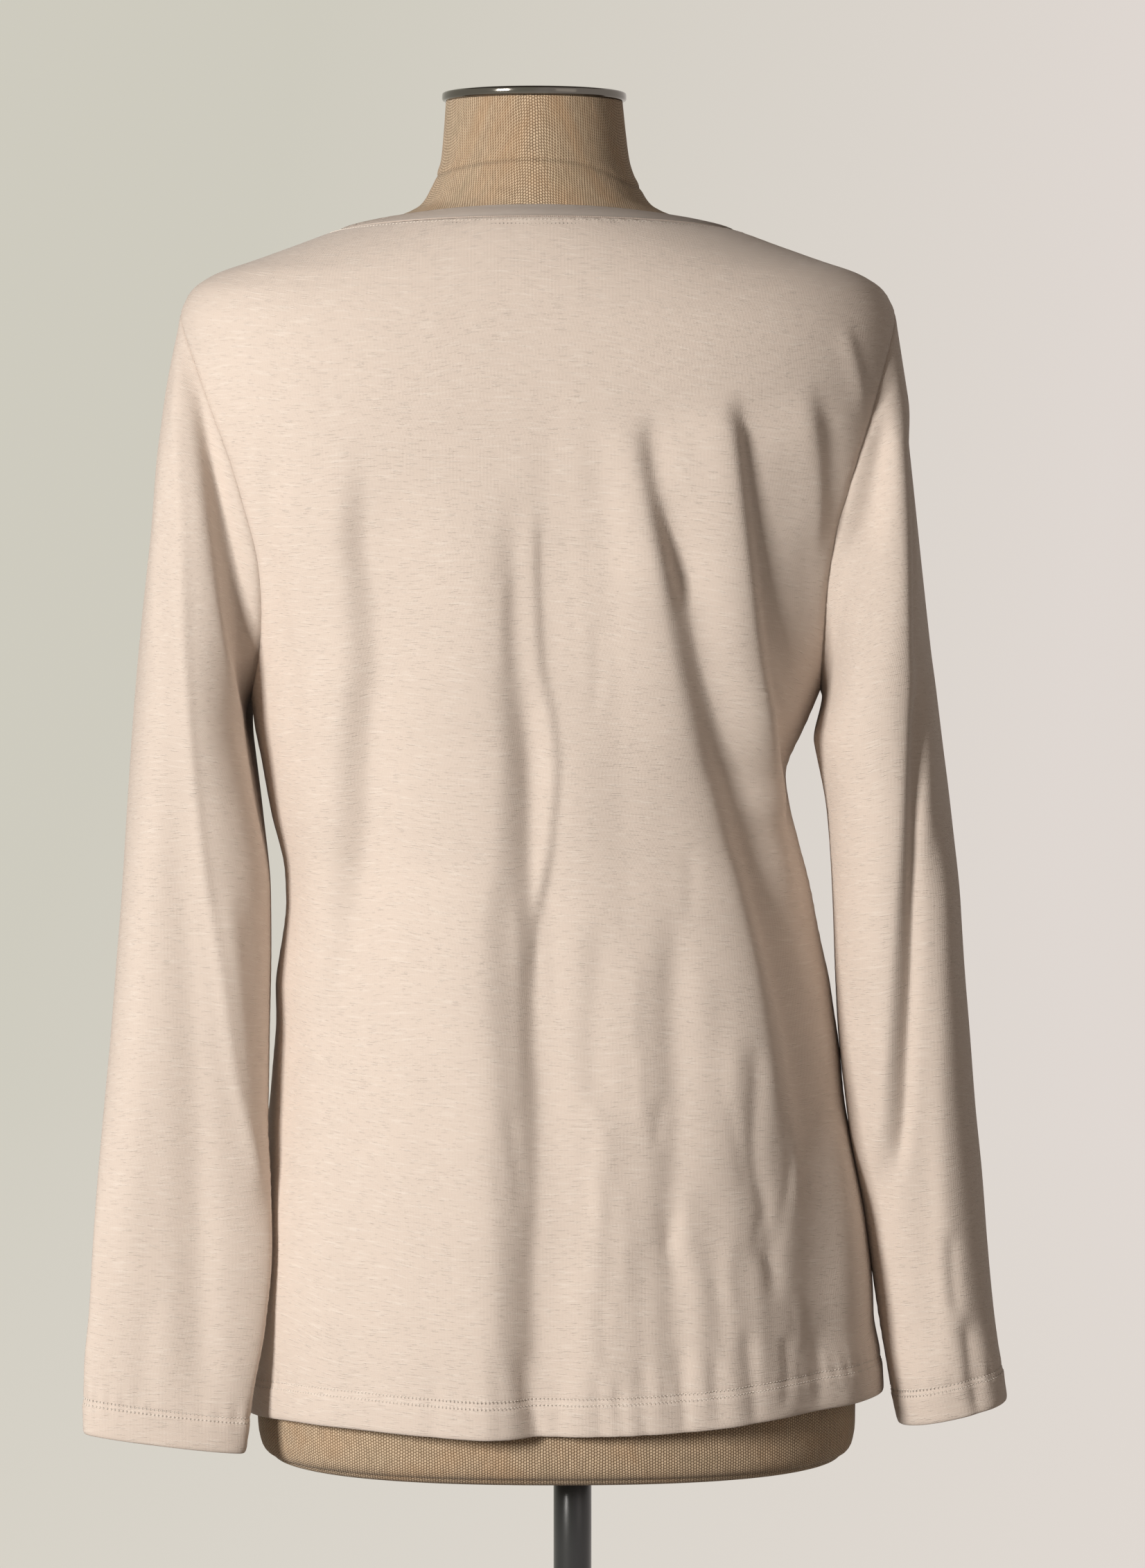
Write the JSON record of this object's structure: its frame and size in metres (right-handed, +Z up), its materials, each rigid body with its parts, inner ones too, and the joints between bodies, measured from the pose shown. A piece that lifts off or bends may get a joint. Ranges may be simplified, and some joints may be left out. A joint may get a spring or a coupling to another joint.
{
  "type": "long-sleeved t-shirt on a dress form",
  "caption": "Pale pink-beige long-sleeved jersey t-shirt, seen from the back, worn on a limbless linen dress form with a chrome neck cap, on a pole and round base.",
  "frame": {"origin": "centre of the round base's underside, on the floor", "axes": "+Z up; the shirt's back and the form's back face -Y and its front faces +Y; the wearer's left arm is towards -X"},
  "size_m": [0.5028, 0.3, 1.1431],
  "materials": {
    "jersey": "matt slub jersey, pale pink-beige",
    "linen": "coarse matt linen, brown-beige",
    "chrome": "polished",
    "black_metal": "satin black"
  },
  "bodies": {
    "root": {"back": "jersey", "front": "jersey", "sleeve_left": "jersey", "sleeve_right": "jersey", "neckband": "jersey", "dress_form": "linen", "neck_cap": "chrome", "pole": "black_metal", "base": "black_metal"}
  },
  "joints": []
}
